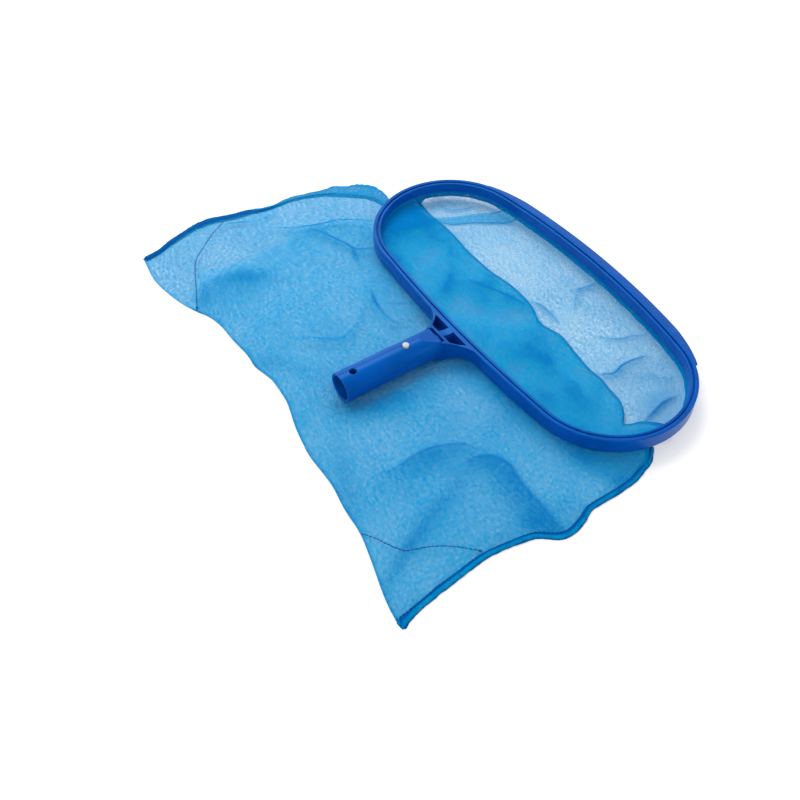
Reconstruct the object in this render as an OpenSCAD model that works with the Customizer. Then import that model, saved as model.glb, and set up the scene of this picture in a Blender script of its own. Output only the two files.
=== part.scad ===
// Leaf skimmer net: an oval plastic hoop on a tubular spigot, with a deep mesh bag
// that lies folded flat under it. Millimetres. +Y runs from the spigot's mouth to the
// hoop, +X along the hoop's long axis, +Z up. The origin is the centre of the mouth.

/* [Spigot] */
// Outside diameter of the spigot, a sliding fit in the pole
spigot_od = 29; // [27:0.5:32]
// Wall of the spigot
spigot_wall = 2.5; // [2:0.1:3]
// Length of the spigot from its mouth to its end face in the yoke
spigot_len = 104; // [98:1:125]
// Length of the sliding fit, measured from the mouth
slide_len = 66; // [58:1:66]
// How much less the spigot's radius is past its sliding fit
relief = 0.3; // [0.2:0.05:0.4]
// Distance from the mouth to the spare lock hole
spare_hole_y = 14; // [9:0.5:16]
// Diameter of the spare lock hole
spare_hole_d = 7.2; // [5:0.1:8]
// Distance from the mouth to the lock buttons
button_y = 71; // [68:1:76]
// Depth of the open bore, measured from the mouth
bore_depth = 84; // [82:0.5:86]
// Length of the flat on top of the spigot, measured back from its end face
flat_len = 17; // [14:1:19]
// How far the flat has dropped at the spigot's end face
flat_drop = 4.7; // [4:0.1:5.1]
// Chamfer inside the mouth
mouth_chamfer = 0.8; // [0.4:0.1:1.2]

/* [Lock spring] */
// Diameter of a lock button
button_d = 6.3; // [5:0.1:7]
// How far a button stands proud of the spigot
button_proud = 2.2; // [1.5:0.1:2.8]
// How far a button is pressed in
button_travel = 2.4; // [1.7:0.1:3]
// Clearance round a button in its hole
button_gap = 0.6; // [0.5:0.05:0.9]
// Height of a button's dome
dome_h = 1.2; // [0.8:0.1:1.4]
// Length of a spring arm from the bow to the button
arm_len = 40; // [34:1:44]
// Width of the spring strip
strip_w = 8; // [7.2:0.2:9]
// Thickness of the spring strip
strip_t = 0.8; // [0.6:0.1:1]
// Clearance between the strip's edges and the bore
strip_gap = 0.4; // [0.3:0.05:0.6]
// Gap between the bow and each arm, where the strip bends
hinge_gap = 0.3; // [0.25:0.05:0.4]

/* [Hoop] */
// Distance from the spigot's end face to the hoop's rim line
yoke_reach = 22; // [19:0.5:28]
// Half the distance between the centres of the two round ends
end_x = 120; // [105:1:140]
// Radius of the two round ends, on the rim line
end_r = 79; // [72:1:84]
// Radius of the near side
near_r = 1500; // [1300:10:2400]
// Radius of the far side
far_r = 770; // [700:10:1200]
// Height of the rim's top above the spigot's axis
rim_top = 6; // [5.5:0.25:7]
// Height of the rim's wall
rim_h = 15; // [14:0.5:16]
// Distance from the rim line to the wall's outer face
wall_out = 3.2; // [2.8:0.1:3.6]
// Distance from the rim line to the wall's inner face
wall_in = 0.8; // [0.5:0.1:1.2]
// Radius of the wall's top corners
rim_round = 1.2; // [0.8:0.1:1.4]

/* [Yoke] */
// Radius of the fillets that spread the yoke's arms into the rim
yoke_fillet = 32.5; // [30:0.5:34]
// Width of the yoke where its fillets start, beside the spigot
yoke_w = 21; // [19:0.5:22]
// Depth of the yoke's underside below the axis, at the spigot's end face
yoke_deep = 13.5; // [11:0.5:14]
// Thickness of the cross wall behind the spigot
cross_wall = 2.8; // [2:0.2:3.2]
// Gap between the spigot's end face and the cross wall
cross_gap = 3.6; // [2.4:0.2:4.2]
// Width of the rib between the two pockets
mid_rib = 7.6; // [6:0.2:9]
// Width of the pockets at the cross wall, from side to side
pocket_near_w = 28; // [24:0.5:29]
// Width of the pockets at the rim, from side to side
pocket_far_w = 49; // [44:0.5:50]
// Thickness of the pockets' floor
pocket_floor = 2; // [1.5:0.1:3]
// Diameter of the stub that the spigot is pushed onto
stub_d = 12; // [10:0.5:12.5]
// Length of the stub inside the spigot
stub_len = 14; // [10:0.5:14.5]
// Clearance between the spigot and the yoke
plug_gap = 0.1; // [0.05:0.01:0.2]

/* [Scoop lip] */
// How far the lip stands out from the rim's wall
lip_out = 8.6; // [7:0.2:11]
// Thickness of the lip where it leaves its flange
lip_t = 2.2; // [1.8:0.1:2.6]
// Thickness of the lip's edge
lip_edge_t = 1.2; // [1:0.1:1.6]
// How far the lip's top falls from its flange to its edge
lip_fall = 1.6; // [1:0.1:2]
// How far the lip's top lies below the rim's rounded corner
lip_sink = 1; // [0.6:0.1:1.4]
// Thickness of the flange against the rim
flange_t = 1.9; // [1.7:0.1:2.4]
// Height of the flange
flange_h = 8.8; // [8:0.2:10]
// How far from the middle the lip starts to narrow towards its ends
lip_narrow_x = 100; // [85:1:112]
// Angle round each hoop end at which the lip stops, from the long axis
lip_stop = 63; // [57:1:68]
// Height of the tongue that carries the lip
tongue_h = 2; // [1.6:0.1:2.4]
// Depth of the tongue
tongue_t = 1; // [0.8:0.1:1.2]
// Clearance between the lip and the rim
lip_gap = 0.12; // [0.08:0.01:0.2]

/* [Net retainer] */
// Thickness of the retainer
keep_t = 3; // [2.6:0.1:3.4]
// Height of the retainer
keep_h = 9.4; // [8.6:0.2:10]
// How far the retainer's top lies below the rim's top
keep_drop = 0.6; // [0.4:0.1:1]
// Width of the joint between the wall and the retainer
joint_w = 1; // [0.9:0.05:1.2]
// Height of the snap bead
bead_h = 1.2; // [1:0.1:1.4]
// How far the snap bead enters the wall
bead_bite = 0.35; // [0.3:0.05:0.45]
// Clearance round the snap bead
bead_gap = 0.12; // [0.08:0.01:0.2]
// Diameter of the cord in the hem
cord_d = 1.6; // [1.4:0.1:1.7]

/* [Bag] */
// Thickness of one layer of mesh
mesh_t = 0.5; // [0.4:0.05:0.6]
// Thickness of the hem's tape
hem_t = 0.6; // [0.5:0.05:0.7]
// Clearance between cloth and plastic
cloth_gap = 0.2; // [0.15:0.05:0.3]
// Clearance between the rim's underside and the upper layer
under_gap = 0.4; // [0.3:0.05:0.8]
// Clearance between the lower lock button and the upper layer
button_air = 0.25; // [0.25:0.05:0.8]
// How far the bag spreads past the hoop on the left
spill_left = 91; // [70:1:110]
// How far the bag spreads past the hoop on the right
spill_right = 15; // [10:1:40]
// How far the bag's folded bottom lies behind the hoop's near side
bag_drop = 186; // [160:1:220]
// Width of the rolled side seams
seam_w = 5; // [4:0.2:6]
// Width of the corner seams
corner_w = 1.2; // [0.8:0.1:2]
// Half width of the hollow under the spigot, at its bottom
hollow_in = 8; // [6:0.5:9]
// Half width of the hollow under the spigot, at its top
hollow_out = 26; // [25:0.5:30]
// How far past the hoop's near side the upper layer is folded back
fold_reach = 80; // [60:1:100]

/* [Hidden] */

arc_fn = 96;
long_fn = 1440;
// The hoop's runs overlap by this length, and the round ends are slimmer by this much
lap = 0.6;
hair = 0.03;
$slim = 0;
// How far one solid reaches into another that it is part of
merge = 0.5;
// How far a cutting solid runs past what it cuts
cut = 1;
// How far a cutting sheet runs past the bag's outline
wide_cut = 60;
// How far the yoke's fillets end inside the rim's wall
fillet_sink = 1.7;
// How far before the rim's wall the yoke's underside levels out, and the hollow under it ends
root_gap = 2;
// Height of the floor of the gap behind the spigot
gap_floor = -2;
// Plastic left between the pockets and the rim's wall
pocket_margin = 0.6;
// How far outside the lip's edge the line of its narrowing starts, and how wide the lip is where it stops
narrow_air = 0.5;
lip_end_w = 0.7;
frame_blue = [0.02, 0.30, 0.62];
mesh_blue = [0.30, 0.66, 0.86];
seam_blue = [0.05, 0.40, 0.66];

// The rim line: a near arc, a far arc and two round ends, all tangent
near_y = spigot_len + yoke_reach;
near_alpha = asin(end_x / (near_r - end_r));
far_alpha = asin(end_x / (far_r - end_r));
near_cy = near_y + near_r;
hoop_y = near_cy - (near_r - end_r) * cos(near_alpha);
far_cy = hoop_y - (far_r - end_r) * cos(far_alpha);
far_y = far_cy + far_r;
half_w = end_x + end_r + wall_out;
rim_bottom = rim_top - rim_h;

// Spigot and lock spring
spigot_r = spigot_od / 2;
bore_r = spigot_r - spigot_wall;
rear_r = spigot_r - relief;
strip_z = sqrt(pow(bore_r, 2) - pow(strip_w / 2, 2)) - strip_gap;
bow_y = button_y - arm_len;
arm_tail = strip_w / 2;
button_tip = spigot_r + button_proud;

// Joint between the rim's wall and the retainer, as offsets from the rim line
keep_out = -wall_in - joint_w;
keep_in = keep_out - keep_t;
keep_top = rim_top - keep_drop;
keep_bottom = keep_top - keep_h;
bead_z = keep_top - 2.4;
cord_z = bead_z - 2;
cord_o = -wall_in - cloth_gap - cord_d / 2;
cord_room = cord_d + 2 * cloth_gap;
hem_in = -wall_in - cloth_gap - hem_t;
hem_top = cord_z - cord_room / 2;

// The lip narrows along a circle that sets out level with the lip's edge and meets the flange at the lip's end
lip_edge_r = far_r + wall_out + lip_out;
narrow_start = [lip_narrow_x, far_cy + sqrt(pow(lip_edge_r, 2) - pow(lip_narrow_x, 2)) + narrow_air];
narrow_dir = (narrow_start - [0, far_cy]) / norm(narrow_start - [0, far_cy]);
lip_end = [end_x, hoop_y]
    + (end_r + wall_out + lip_gap + flange_t + lip_end_w) * [cos(lip_stop), sin(lip_stop)];
narrow_chord = lip_end - narrow_start;
narrow_r = -(narrow_chord * narrow_chord) / (2 * narrow_chord * narrow_dir);
narrow_c = narrow_start - narrow_r * narrow_dir;

// Heights of the bag's layers
upper_z = rim_bottom - under_gap;
hollow_z = -button_tip - button_air;
lower_z = hollow_z - mesh_t;
floor_z = lower_z - mesh_t;
cloth_edge = hem_in - cloth_gap;
hollow_end = near_y - wall_out - root_gap;

// The yoke: its top goes on from the spigot's flat, and its underside rises to the rim
fillet_x = yoke_w / 2 + yoke_fillet;
fillet_y = near_y - wall_out + fillet_sink - yoke_fillet;
yoke_end_z = rear_r - flat_drop;
yoke_flat_y = spigot_len + (yoke_end_z - rim_top) * flat_len / flat_drop;
pocket_y = spigot_len + cross_gap + cross_wall;

// Lie of the bag: sideways shifts, and shares of the way from the bottom to the hoop
bag_left = -half_w - spill_left;
bag_right = half_w + spill_right;
bag_bottom = near_y - bag_drop;
left_lie = [[17, -0.03], [-9, 0.20], [1, 0.43], [11, 0.67], [20, 0.82], [36, 0.91], [53, 0.935]];
right_lie = [[2, -0.07], [-6, 0.11], [-10, 0.31], [-1, 0.46], [13, 0.51], [8, 0.60], [1, 0.75], [2, 0.86]];
bottom_lie = [[0.12, 9], [0.23, 10], [0.34, 19], [0.51, 22], [0.64, 8], [0.83, -3]];
left_top = [-half_w + 2, hoop_y - 4];
right_top = [half_w - 4, hoop_y - 8];
left_edge = concat([for (p = left_lie) [bag_left + p[0], lie_y(p[1])]], [left_top]);
right_edge = concat([for (p = right_lie) [bag_right + p[0], lie_y(p[1])]], [right_top]);
bottom_edge = concat([left_edge[0]], [for (p = bottom_lie) [lie_x(p[0]), bag_bottom + p[1]]], [right_edge[0]]);
left_inner = shifted(left_edge, seam_w + cloth_gap / 2);
right_inner = shifted(right_edge, -seam_w - cloth_gap / 2);
fold_line = [[-half_w + 14, near_y + fold_reach + 10], [-half_w * 0.42, near_y + fold_reach],
             [half_w * 0.19, near_y + fold_reach], [half_w * 0.62, near_y + fold_reach - 7],
             [half_w - 30, near_y + fold_reach - 19]];
left_cut = [[bag_left - 12, lie_y(0.37)], [bag_left + 33, lie_y(0.20)],
            [bag_left + 53, lie_y(0.12)], [bag_left + 143, lie_y(-0.04)]];
right_cut = [[bag_right - 100, lie_y(-0.06)], [bag_right - 52, lie_y(0.06)],
             [bag_right - 37, lie_y(0.16)], [bag_right - 14, lie_y(0.28)], [bag_right + 6, lie_y(0.35)]];

function lie_y(share) = bag_bottom + share * (hoop_y - bag_bottom);
function lie_x(share) = bag_left + share * (bag_right - bag_left);
function unit(v) = v / norm(v);
function left_of(v) = [-v[1], v[0]];
// Direction of a path at point i, averaged over the stretches that meet there
function heading(p, i) = unit(unit(p[min(i + 1, len(p) - 1)] - p[max(i - 1, 0)]));
// A path moved sideways: a positive distance moves it to the right of its direction
function shifted(p, d) = [for (i = [0 : len(p) - 1]) p[i] - d * left_of(heading(p, i))];
function reversed(p) = [for (i = [len(p) - 1 : -1 : 0]) p[i]];

// A band of width w on the right side of a path
module ribbon(p, w) polygon(concat(p, reversed(shifted(p, w))));

// A profile swept along one arc of the rim line, from angle a0 to a1
module arc_run(cx, cy, r, a0, a1, fn) {
    translate([cx, cy, 0])
        rotate([0, 0, a0])
            rotate_extrude(angle = a1 - a0, $fn = fn)
                translate([r, 0])
                    children();
}

// The long runs reach a little into the round ends, whose profile is a hair slimmer there
module near_run() {
    more = lap / near_r * 180 / PI;
    arc_run(0, near_cy, near_r, -90 - near_alpha - more, -90 + near_alpha + more, long_fn) children();
}

module far_run() {
    more = lap / far_r * 180 / PI;
    arc_run(0, far_cy, far_r, 90 - far_alpha - more, 90 + far_alpha + more, long_fn) children();
}

// The two round ends, from angle a0 to a1 measured from the long axis
module end_runs(a0, a1) {
    $slim = hair;
    arc_run(end_x, hoop_y, end_r, a0, a1, arc_fn) children();
    arc_run(-end_x, hoop_y, end_r, 180 - a1, 180 - a0, arc_fn) children();
}

// A rectangle in a swept profile, from offset a to b and height z0 to z1
module bar(a, b, z0, z1) {
    translate([a + $slim, z0 + $slim]) square([b - a - 2 * $slim, z1 - z0 - 2 * $slim]);
}

module whole_run() {
    near_run() children();
    end_runs(-90 + near_alpha, 90 - far_alpha) children();
    far_run() children();
}

// The area inside the rim line, grown by off
module hoop_area(off) {
    reach = 2 * end_r;
    near_dir = [sin(near_alpha), -cos(near_alpha)] * reach;
    far_dir = [sin(far_alpha), cos(far_alpha)] * reach;
    intersection() {
        translate([0, near_cy]) circle(r = near_r + off, $fn = long_fn);
        translate([0, far_cy]) circle(r = far_r + off, $fn = long_fn);
        polygon([[end_x + near_dir[0], hoop_y + near_dir[1]], [end_x, hoop_y],
                 [end_x + far_dir[0], hoop_y + far_dir[1]], [-end_x - far_dir[0], hoop_y + far_dir[1]],
                 [-end_x, hoop_y], [-end_x - near_dir[0], hoop_y + near_dir[1]]]);
    }
    for (side = [-1, 1])
        translate([side * end_x, hoop_y]) circle(r = end_r + off, $fn = arc_fn);
}

// A bar with round top corners of radius r
module round_bar(a, b, z0, z1, r) {
    bar(a, b, z0, z1 - r);
    bar(a + r, b - r, z0, z1);
    for (x = [a + r, b - r])
        translate([x, z1 - r]) circle(r = r - $slim, $fn = 32);
}

module rim_profile() {
    difference() {
        round_bar(-wall_in, wall_out, rim_bottom, rim_top, rim_round);
        translate([-wall_in - cut, bead_z - bead_h / 2 - bead_gap - $slim])
            square([cut + bead_bite + bead_gap + $slim, bead_h + 2 * bead_gap + 2 * $slim]);
    }
}

module tongue_profile() bar(wall_out - merge, wall_out + tongue_t, -tongue_h, 0);

module keep_profile() {
    difference() {
        round_bar(keep_in, keep_out, keep_bottom, keep_top, rim_round * 0.8);
        translate([cord_o - cord_room / 2 - $slim, cord_z - cord_room / 2 - $slim])
            square([cord_room + 2 * $slim, cord_room + 2 * $slim]);
    }
    bar(keep_out - merge, keep_out + joint_w + bead_bite, bead_z - bead_h / 2, bead_z + bead_h / 2);
}

module lip_profile() {
    flange_in = wall_out + lip_gap;
    flange_out = flange_in + flange_t;
    root = flange_out - merge;
    tip = wall_out + lip_out - $slim;
    top = rim_top - rim_round - lip_sink;
    difference() {
        union() {
            bar(flange_in, flange_out, top - flange_h, top);
            polygon([[root, top - $slim], [flange_out, top - $slim], [tip, top - lip_fall - $slim],
                     [tip, top - lip_fall - lip_edge_t + $slim], [flange_out, top - lip_t + $slim],
                     [root, top - lip_t + $slim]]);
        }
        translate([flange_in - cut, -tongue_h - lip_gap - $slim])
            square([cut + tongue_t + $slim, tongue_h + 2 * lip_gap + 2 * $slim]);
    }
}

// Plan of the yoke: a web between the spigot and the rim, with two concave sides
module yoke_plan() {
    difference() {
        translate([-fillet_x, fillet_y])
            square([2 * fillet_x, near_y - wall_out + 2 * cut - fillet_y]);
        for (side = [-1, 1])
            translate([side * fillet_x, fillet_y]) circle(r = yoke_fillet, $fn = 96);
        translate([0, near_cy]) circle(r = near_r + wall_out - cut, $fn = long_fn);
    }
}

// Side view of the yoke: it tapers from the spigot's depth to the rim's
module yoke_side() {
    start = fillet_y - cut;
    shoulder = yoke_w / 2 - 1;
    saddle_y = spigot_len - stub_len / 2;
    polygon([[start, -shoulder], [spigot_len, -yoke_deep], [hollow_end, rim_bottom],
             [near_y, rim_bottom], [near_y, rim_top], [yoke_flat_y, rim_top],
             [spigot_len, yoke_end_z], [saddle_y, yoke_end_z / 2], [start, yoke_end_z / 2]]);
}

module yoke_pocket(side) {
    far_edge = near_y - wall_out - pocket_margin;
    translate([0, 0, rim_bottom + pocket_floor])
        linear_extrude(height = rim_h + spigot_r)
            polygon([[side * mid_rib / 2, pocket_y], [side * pocket_near_w / 2, pocket_y],
                     [side * pocket_far_w / 2, far_edge], [side * mid_rib / 2, far_edge]]);
}

// A drawing in X and Z, extruded from y0 to y1
module along_y(y0, y1) {
    translate([0, y1, 0]) rotate([90, 0, 0]) linear_extrude(height = y1 - y0) children();
}

// A drawing in Y and Z, extruded over width w about the middle
module across_x(w) {
    rotate([90, 0, 90]) translate([0, 0, -w / 2]) linear_extrude(height = w) children();
}

// A drawing in X and Y, extruded from z0 to z1
module slab(z0, z1) translate([0, 0, z0]) linear_extrude(height = z1 - z0) children();

module yoke() {
    difference() {
        intersection() {
            slab(-spigot_r, spigot_r) yoke_plan();
            across_x(2 * fillet_x) yoke_side();
        }
        along_y(0, spigot_len + plug_gap) circle(r = rear_r + plug_gap, $fn = 96);
        translate([-yoke_w / 2, spigot_len, gap_floor]) cube([yoke_w, cross_gap, spigot_od]);
        for (side = [-1, 1]) yoke_pocket(side);
    }
}

module hoop_frame() {
    color(frame_blue) {
        whole_run() rim_profile();
        far_run() tongue_profile();
        end_runs(lip_stop + 2, 90 - far_alpha) tongue_profile();
        yoke();
        along_y(spigot_len - stub_len, pocket_y - cut) circle(d = stub_d, $fn = 64);
    }
}

module spigot() {
    color(frame_blue)
        difference() {
            union() {
                along_y(0, slide_len) circle(r = spigot_r, $fn = 96);
                along_y(0, spigot_len) circle(r = rear_r, $fn = 96);
            }
            along_y(-cut, bore_depth) circle(r = bore_r, $fn = 96);
            along_y(bore_depth - cut, spigot_len + cut) circle(d = stub_d + 2 * plug_gap, $fn = 64);
            translate([0, mouth_chamfer, 0])
                rotate([90, 0, 0])
                    rotate_extrude($fn = 96)
                        polygon([[0, 0], [bore_r, 0], [bore_r + mouth_chamfer, mouth_chamfer],
                                 [bore_r + mouth_chamfer, 2 * cut], [0, 2 * cut]]);
            translate([0, spare_hole_y, -spigot_r - cut])
                cylinder(d = spare_hole_d, h = spigot_od + 2 * cut, $fn = 64);
            translate([0, button_y, -spigot_r - cut])
                cylinder(r = button_d / 2 + button_gap, h = spigot_od + 2 * cut, $fn = 64);
            across_x(spigot_od)
                polygon([[spigot_len - flat_len, rear_r], [spigot_len, yoke_end_z], [spigot_len + cut, yoke_end_z],
                         [spigot_len + cut, spigot_od], [spigot_len - flat_len, spigot_od]]);
        }
}

// What is cut away from the lip towards its ends
module lip_narrowing() {
    for (side = [-1, 1])
        slab(rim_bottom - cut, rim_top + cut)
            difference() {
                translate([side * (lip_narrow_x + end_r), hoop_y + end_r]) square(2 * end_r, center = true);
                translate([side * narrow_c[0], narrow_c[1]]) circle(r = narrow_r, $fn = 360);
            }
}

module scoop_lip() {
    color(frame_blue)
        difference() {
            union() {
                far_run() lip_profile();
                end_runs(lip_stop, 90 - far_alpha) lip_profile();
            }
            lip_narrowing();
        }
}

module net_retainer() color(frame_blue) whole_run() keep_profile();

module hem_cord() color(seam_blue) whole_run() translate([cord_o, cord_z]) circle(d = cord_d - 2 * $slim, $fn = 24);

// Tape round the bag's mouth: it reaches the upper layer on the near half of the hoop
// and the floor on the far half
module hem_tape() {
    color(seam_blue) {
        whole_run() bar(hem_in, hem_in + hem_t, upper_z, hem_top);
        end_runs(0, 90 - far_alpha) low_hem();
        far_run() low_hem();
    }
}

module low_hem() bar(hem_in + 2 * hair, hem_in + hem_t - 2 * hair, floor_z, upper_z + cut);

// Cross-section of the upper layer, or of the room under it, with the hollow for the spigot
module sheet_profile(t) {
    wide = 2 * half_w + spill_left;
    top = [[-wide, upper_z], [-hollow_out, upper_z], [-hollow_in, hollow_z],
           [hollow_in, hollow_z], [hollow_out, upper_z], [wide, upper_z]];
    polygon(concat(top, [for (p = reversed(top)) [p[0], p[1] - t]]));
}

module room_profile() {
    wide = 2 * half_w + spill_left;
    polygon([[-wide, lower_z], [-wide, upper_z], [-hollow_out, upper_z], [-hollow_in, hollow_z],
             [hollow_in, hollow_z], [hollow_out, upper_z], [wide, upper_z], [wide, lower_z]]);
}

// Outline of the bag between its side seams, up to the line given
module bag_plan(top_line) polygon(concat(bottom_edge_inner(), right_inner, reversed(top_line), reversed(left_inner)));

function bottom_edge_inner() = [for (i = [1 : len(bottom_edge) - 2]) bottom_edge[i]];

module bag_upper_layer() {
    start = bag_bottom - wide_cut;
    color(mesh_blue) {
        intersection() {
            slab(lower_z, rim_top) bag_plan(fold_line);
            along_y(start, hollow_end) sheet_profile(mesh_t);
        }
        slab(upper_z - mesh_t, upper_z)
            intersection() {
                bag_plan(fold_line);
                translate([-half_w - spill_left, hollow_end]) square([2 * bag_right - 2 * bag_left, far_y]);
            }
        slab(upper_z, upper_z + mesh_t)
            intersection() {
                hoop_area(cloth_edge);
                polygon(concat(fold_line, [[half_w, near_y - wide_cut], [-half_w, near_y - wide_cut]]));
            }
        along_y(hollow_end, hollow_end + mesh_t)
            polygon([[-hollow_out, upper_z], [-hollow_in, hollow_z - mesh_t],
                     [hollow_in, hollow_z - mesh_t], [hollow_out, upper_z]]);
        intersection() {
            slab(lower_z, rim_top) ribbon(reversed(bottom_edge), mesh_t);
            slab(lower_z, rim_top) bag_plan(fold_line);
            along_y(start, hollow_end) room_profile();
        }
    }
}

module bag_lower_layer() {
    color(mesh_blue)
        slab(floor_z, lower_z) {
            bag_plan(fold_line);
            hoop_area(cloth_edge);
        }
}

module side_seam(edge, w) {
    color(seam_blue)
        slab(floor_z, upper_z) ribbon(edge, w);
}

module side_seam_left() side_seam(left_edge, seam_w);
module side_seam_right() side_seam(right_edge, -seam_w);

// Stitched line across a bottom corner, between the two layers
module corner_seam(path) {
    color(seam_blue)
        slab(lower_z, upper_z - mesh_t)
            intersection() {
                ribbon(path, corner_w);
                polygon(concat(shifted(bottom_edge, -mesh_t - cloth_gap), right_inner, reversed(left_inner)));
            }
}

module corner_seam_left() corner_seam(left_cut);
module corner_seam_right() corner_seam(right_cut);

// The strip's bend, near the mouth
module spring_bow() {
    color("silver")
        translate([-strip_w / 2, bow_y, 0])
            rotate([90, 0, 90])
                rotate([0, 0, 90])
                    rotate_extrude(angle = 180, $fn = 64)
                        translate([strip_z - strip_t, 0]) square([strip_t, strip_w]);
}

module spring_arm(side) {
    color("silver")
        translate([-strip_w / 2, bow_y + hinge_gap, side > 0 ? strip_z - strip_t : -strip_z])
            cube([strip_w, arm_len + arm_tail - hinge_gap, strip_t]);
}

module button(side) {
    dome_r = (pow(button_d / 2, 2) + pow(dome_h, 2)) / (2 * dome_h);
    straight = button_tip - dome_h - strip_z;
    color("white")
        translate([0, button_y, side * strip_z])
            rotate([side > 0 ? 0 : 180, 0, 0])
                rotate_extrude($fn = 48)
                    intersection() {
                        square([button_d / 2, straight + dome_h]);
                        union() {
                            square([button_d / 2, straight]);
                            translate([0, straight + dome_h - dome_r]) circle(r = dome_r, $fn = 96);
                        }
                    }
}

module spring_arm_top() spring_arm(1);
module spring_arm_bottom() spring_arm(-1);
module button_top() button(1);
module button_bottom() button(-1);

hoop_frame();
spigot();
scoop_lip();
net_retainer();
hem_tape();
hem_cord();
bag_upper_layer();
bag_lower_layer();
side_seam_left();
side_seam_right();
corner_seam_left();
corner_seam_right();
spring_bow();
spring_arm_top();
spring_arm_bottom();
button_top();
button_bottom();
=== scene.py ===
import bpy
import numpy as np
from mathutils import Matrix


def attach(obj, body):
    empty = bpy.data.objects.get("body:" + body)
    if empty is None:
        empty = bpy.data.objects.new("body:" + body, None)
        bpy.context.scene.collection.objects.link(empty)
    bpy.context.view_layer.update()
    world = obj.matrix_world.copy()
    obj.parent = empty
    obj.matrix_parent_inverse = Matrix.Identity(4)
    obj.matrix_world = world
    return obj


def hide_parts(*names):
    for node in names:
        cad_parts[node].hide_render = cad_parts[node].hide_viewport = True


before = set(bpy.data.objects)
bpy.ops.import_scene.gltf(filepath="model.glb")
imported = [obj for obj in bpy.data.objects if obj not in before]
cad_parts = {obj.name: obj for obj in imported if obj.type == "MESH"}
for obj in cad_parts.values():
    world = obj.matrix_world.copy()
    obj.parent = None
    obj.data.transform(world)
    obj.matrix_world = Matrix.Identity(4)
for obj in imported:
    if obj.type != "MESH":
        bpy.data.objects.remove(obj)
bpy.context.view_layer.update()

# Hoop frame, spigot, scoop lip and net retainer: injection-moulded polypropylene, one deep blue.
# The spigot is pushed onto the hoop's stub, and the lip and the retainer snap on round the rim.
# The moulded skin is glossy, with faint flow mottling, fine grain and rubbed, paler streaks.
FRAME_BLUE = (0.0, 0.084, 0.44, 1)
RUBBED_BLUE = (0.01, 0.19, 0.62, 1)
BLUE_GLOSS = (0.05, 0.58, 0.95, 1)


def wire(tree, kind, inputs=None, **settings):
    """A shader node of one kind. Settings are its properties; inputs are numbers, colours or sockets."""
    node = tree.nodes.new("ShaderNode" + kind)
    for name, value in settings.items():
        setattr(node, name, value)
    for name, value in (inputs or {}).items():
        if isinstance(value, bpy.types.NodeSocket):
            tree.links.new(value, node.inputs[name])
        else:
            node.inputs[name].default_value = value
    return node


def effect_group(name, inputs, outputs):
    """An empty node group with named sockets, and its input and output nodes."""
    tree = bpy.data.node_groups.new(name, "ShaderNodeTree")
    for label, kind in inputs:
        tree.interface.new_socket(label, in_out="INPUT", socket_type="NodeSocket" + kind)
    for label, kind in outputs:
        tree.interface.new_socket(label, in_out="OUTPUT", socket_type="NodeSocket" + kind)
    return tree, tree.nodes.new("NodeGroupInput"), tree.nodes.new("NodeGroupOutput")


def spread(tree, value, low, high, to_low=0.0, to_high=1.0):
    """The value's stretch from low to high, mapped to to_low to to_high and held at its ends."""
    return wire(tree, "MapRange", {"Value": value, "From Min": low, "From Max": high,
                                   "To Min": to_low, "To Max": to_high}).outputs[0]


def maths(tree, operation, *values, **settings):
    """The result of a Math node on numbers or sockets."""
    return wire(tree, "Math", dict(enumerate(values)), operation=operation, **settings).outputs[0]


# The skin: the plastic's blue times a soft mottle, and paler, rougher streaks where it was rubbed.
moulded_skin, skin_in, skin_out = effect_group(
    "moulded_skin",
    [("Place", "Vector"), ("Plastic", "Color"), ("Rubbed", "Color"), ("Rub", "Float"), ("Gloss", "Float")],
    [("Colour", "Color"), ("Roughness", "Float"), ("Grain", "Float")])
mottle = wire(moulded_skin, "TexNoise", {"Vector": skin_in.outputs["Place"], "Scale": 38.0, "Detail": 3.0})
streak_place = wire(moulded_skin, "Mapping", {"Vector": skin_in.outputs["Place"],
                                              "Scale": (70.0, 14.0, 160.0)})
streaks = wire(moulded_skin, "TexNoise", {"Vector": streak_place.outputs[0], "Scale": 1.0, "Detail": 5.0})
rub = maths(moulded_skin, "MULTIPLY", spread(moulded_skin, streaks.outputs[0], 0.56, 0.74),
            skin_in.outputs["Rub"])
shade = spread(moulded_skin, mottle.outputs[0], 0.3, 0.7, 0.88, 1.10)
toned = wire(moulded_skin, "VectorMath", {0: skin_in.outputs["Plastic"], "Scale": shade},
             operation="SCALE")
skin_colour = wire(moulded_skin, "Mix", {0: rub, 6: toned.outputs[0], 7: skin_in.outputs["Rubbed"]},
                   data_type="RGBA")
fine = wire(moulded_skin, "TexNoise", {"Vector": skin_in.outputs["Place"], "Scale": 1500.0, "Detail": 2.0})
skin_rough = maths(moulded_skin, "MULTIPLY_ADD", rub, 0.25, skin_in.outputs["Gloss"])
moulded_skin.links.new(skin_colour.outputs[2], skin_out.inputs["Colour"])
moulded_skin.links.new(skin_rough, skin_out.inputs["Roughness"])
moulded_skin.links.new(fine.outputs[0], skin_out.inputs["Grain"])


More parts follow.
